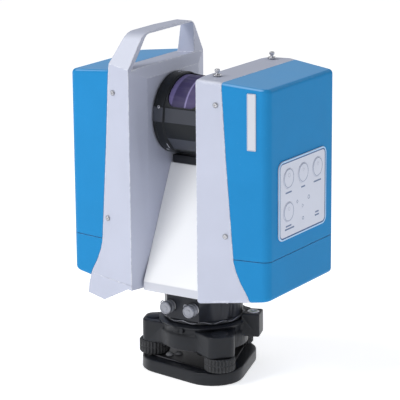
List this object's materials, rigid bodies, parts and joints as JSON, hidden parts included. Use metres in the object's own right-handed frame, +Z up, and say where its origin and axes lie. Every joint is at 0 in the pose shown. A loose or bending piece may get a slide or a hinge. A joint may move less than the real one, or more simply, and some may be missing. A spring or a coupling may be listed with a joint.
{
  "type": "terrestrial laser scanner",
  "caption": "Survey laser scanner: two tall housings with a handle, keypad and spinning mirror rotor between them, turning on a round base locked in a three-screw levelling tribrach.",
  "frame": {"origin": "on the azimuth axis at the underside of the tribrach's base plate, which is the centre of the bounding box's bottom to within 2.3 mm", "axes": "+Z up along the azimuth axis, +X towards the housing with the keypad, -Y towards the side with the two connectors"},
  "size_m": [0.2938, 0.1901, 0.4453],
  "materials": {
    "silver_paint": "satin, finely textured paint",
    "blue_paint": "satin, finely textured paint",
    "black_paint": "semi-gloss",
    "black_plastic": "knurled",
    "panel_film": "satin film",
    "white_film": "satin film",
    "steel": "machined",
    "chrome": "polished, worn",
    "aluminium": "machined",
    "brass": "machined",
    "window_glass": "violet anti-reflection coating",
    "mirror": "polished",
    "circuit": "lacquered board",
    "level_glass": "clear over green fluid"
  },
  "bodies": {
    "tribrach": {"base_plate": "black_paint", "tripod_bush": "brass", "spring_plate": "steel", "tribrach_body": "black_paint", "circular_level": "level_glass", "adapter_flange": "black_paint", "instrument_base": "black_paint", "connector_left": "steel", "connector_right": "steel", "azimuth_bearing_outer": "steel", "azimuth_stator": "steel"},
    "foot_screw_left": {"foot_screw_left": "black_plastic"},
    "foot_screw_front": {"foot_screw_front": "black_plastic"},
    "foot_screw_right": {"foot_screw_right": "black_plastic"},
    "lock_lever": {"lock_lever": "black_paint"},
    "connector_cap_left": {"connector_cap_left": "chrome"},
    "connector_cap_right": {"connector_cap_right": "chrome"},
    "alidade": {"left_frame": "silver_paint", "right_frame": "silver_paint", "pedestal": "silver_paint", "rotor_baffle": "black_paint", "left_cover": "blue_paint", "right_cover": "blue_paint", "left_lower_cover": "blue_paint", "right_lower_cover": "blue_paint", "keypad_panel": "panel_film", "keypad_board": "circuit", "label_plate": "white_film", "cover_screw_left_upper": "steel", "cover_screw_left_lower": "steel", "cover_screw_right_upper": "steel", "cover_screw_right_lower": "steel", "rotor_bearing_left": "steel", "rotor_bearing_right": "steel", "rotor_motor_stator": "steel", "encoder_read_head": "black_paint", "laser_module": "aluminium", "receiver_lens": "window_glass", "main_board": "circuit", "battery_pack": "black_plastic", "storage_drive": "aluminium", "azimuth_hub": "aluminium", "azimuth_bearing_inner": "steel", "azimuth_magnet_ring": "steel"},
    "rotor": {"rotor_drum": "black_paint", "rotor_window": "window_glass", "scan_mirror": "mirror", "rotor_shaft_left": "steel", "rotor_shaft_right": "steel", "rotor_magnet_ring": "steel", "encoder_disc": "window_glass"},
    "key_power": {"key_power": "panel_film"},
    "key_start": {"key_start": "panel_film"},
    "key_select": {"key_select": "panel_film"},
    "key_back": {"key_back": "panel_film"},
    "thumb_screw_front": {"thumb_screw_front": "steel"},
    "thumb_screw_rear": {"thumb_screw_rear": "steel"}
  },
  "joints": [
    {"name": "azimuth_turn", "type": "hinge", "parent": "tribrach", "child": "alidade", "pos_m": [0, 0, 0.12], "axis": [0, 0, 1], "continuous": true},
    {"name": "rotor_spin", "type": "hinge", "parent": "alidade", "child": "rotor", "pos_m": [0, 0, 0.336], "axis": [1, 0, 0], "continuous": true},
    {"name": "foot_screw_left_turn", "type": "hinge", "parent": "tribrach", "child": "foot_screw_left", "pos_m": [-0.06225, -0.02192, 0.028], "axis": [0, 0, 1], "range_deg": [-720, 720]},
    {"name": "foot_screw_front_turn", "type": "hinge", "parent": "tribrach", "child": "foot_screw_front", "pos_m": [0.05011, -0.04295, 0.028], "axis": [0, 0, 1], "range_deg": [-720, 720]},
    {"name": "foot_screw_right_turn", "type": "hinge", "parent": "tribrach", "child": "foot_screw_right", "pos_m": [0.01214, 0.06487, 0.028], "axis": [0, 0, 1], "range_deg": [-720, 720]},
    {"name": "lock_lever_turn", "type": "hinge", "parent": "tribrach", "child": "lock_lever", "pos_m": [-0.04351, 0.03729, 0.051], "axis": [-0.7593, 0.6508, 0], "range_deg": [0, 90]},
    {"name": "key_power_press", "type": "slide", "parent": "alidade", "child": "key_power", "axis": [-1, 0, 0], "range_m": [0, 0.0006], "stiffness_N_per_m": 400},
    {"name": "key_start_press", "type": "slide", "parent": "alidade", "child": "key_start", "axis": [-1, 0, 0], "range_m": [0, 0.0006], "stiffness_N_per_m": 400},
    {"name": "key_select_press", "type": "slide", "parent": "alidade", "child": "key_select", "axis": [-1, 0, 0], "range_m": [0, 0.0006], "stiffness_N_per_m": 400},
    {"name": "key_back_press", "type": "slide", "parent": "alidade", "child": "key_back", "axis": [-1, 0, 0], "range_m": [0, 0.0006], "stiffness_N_per_m": 400},
    {"name": "connector_cap_left_pull", "type": "slide", "parent": "tribrach", "child": "connector_cap_left", "axis": [0, -1, 0], "range_m": [0, 0.009]},
    {"name": "connector_cap_right_pull", "type": "slide", "parent": "tribrach", "child": "connector_cap_right", "axis": [0, -1, 0], "range_m": [0, 0.009]},
    {"name": "thumb_screw_front_turn", "type": "hinge", "parent": "alidade", "child": "thumb_screw_front", "pos_m": [0.061, -0.062, 0.402], "axis": [0, 0, 1], "range_deg": [-360, 360]},
    {"name": "thumb_screw_rear_turn", "type": "hinge", "parent": "alidade", "child": "thumb_screw_rear", "pos_m": [0.06, 0.071, 0.402], "axis": [0, 0, 1], "range_deg": [-360, 360]}
  ]
}
